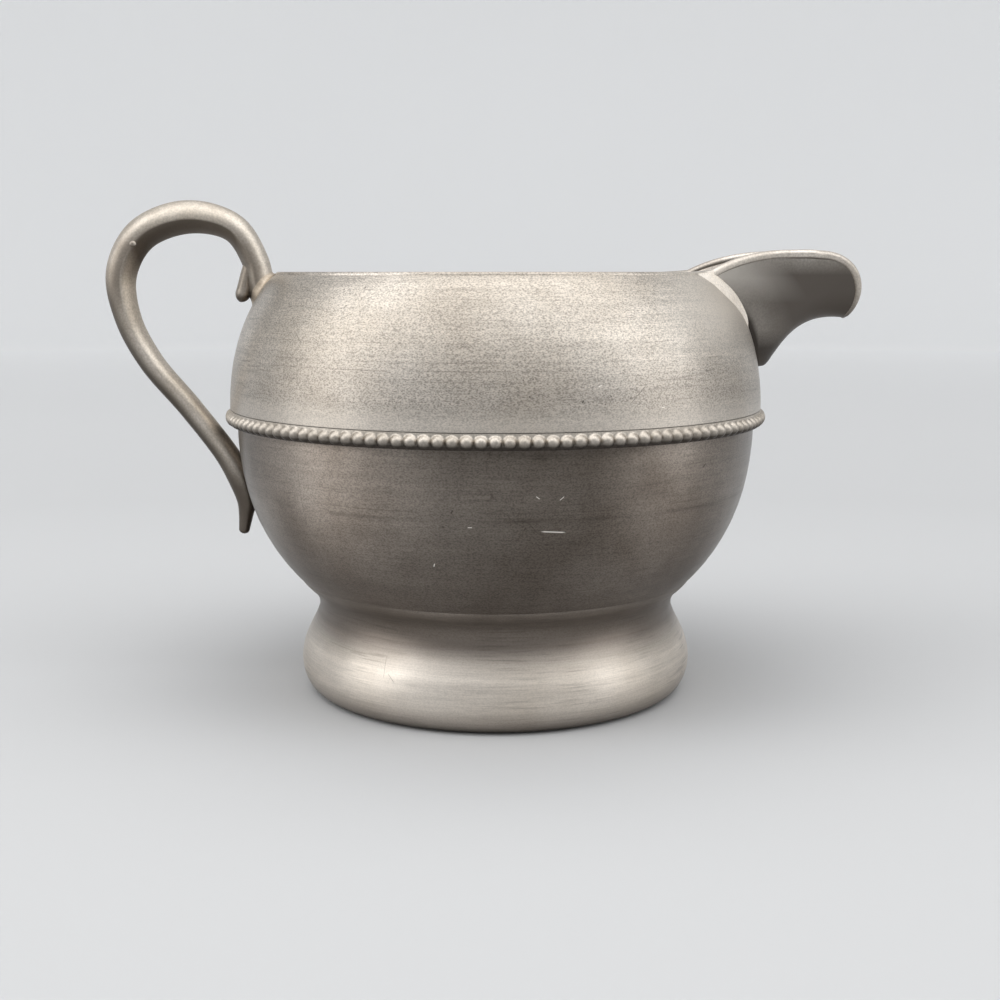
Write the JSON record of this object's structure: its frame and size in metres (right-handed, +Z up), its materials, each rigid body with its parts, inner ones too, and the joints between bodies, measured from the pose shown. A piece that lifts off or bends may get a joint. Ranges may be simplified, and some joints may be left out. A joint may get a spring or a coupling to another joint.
{
  "type": "cream jug",
  "caption": "Small round pewter cream jug with a pouring spout, a looped scroll handle, a beaded band around its widest place and a rolled ring foot.",
  "frame": {"origin": "on the table, under the middle of the overall length from handle to spout; the body's upright axis lies 2.56 mm from it towards the spout", "axes": "+Z up, +X towards the spout, the handle at -X"},
  "size_m": [0.1252, 0.0902, 0.0818],
  "materials": {
    "spun_pewter": "satin, fine spinning lines around the axis, lightly pitted and tarnished",
    "cast_pewter": "satin, soft cast edges",
    "solder": "dull satin"
  },
  "bodies": {
    "root": {"lower_bowl": "spun_pewter", "shoulder": "spun_pewter", "foot": "spun_pewter", "beaded_band": "cast_pewter", "spout": "cast_pewter", "handle": "cast_pewter", "seam_solder": "solder", "foot_solder": "solder", "spout_solder": "solder", "handle_upper_solder": "solder", "handle_lower_solder": "solder"}
  },
  "joints": []
}
